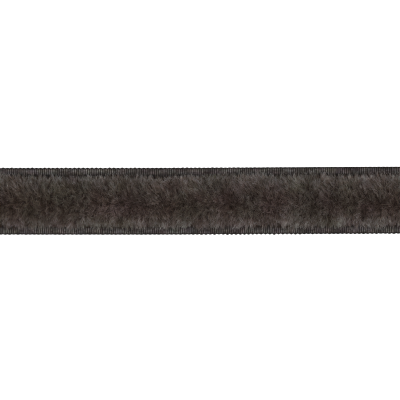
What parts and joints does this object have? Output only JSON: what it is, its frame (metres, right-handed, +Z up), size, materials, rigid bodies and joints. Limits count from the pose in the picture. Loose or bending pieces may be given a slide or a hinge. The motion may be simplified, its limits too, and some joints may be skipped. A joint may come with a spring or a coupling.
{
  "type": "faux fur trim",
  "caption": "Flat woven tape with ribbed edges and a strip of short dark fur pile laid along its middle, a cut length for edging cushions, curtains or garments.",
  "frame": {"origin": "middle of the tape's back, where it rests", "axes": "+X along the tape, +Y across it, +Z up out of the fur"},
  "size_m": [0.2524, 0.0392, 0.0067],
  "materials": {
    "tape": "ribbed weave, low sheen",
    "fur": "soft pile, matt"
  },
  "bodies": {
    "root": {"ribbed_tape": "tape", "fur_strip": "fur"}
  },
  "joints": []
}
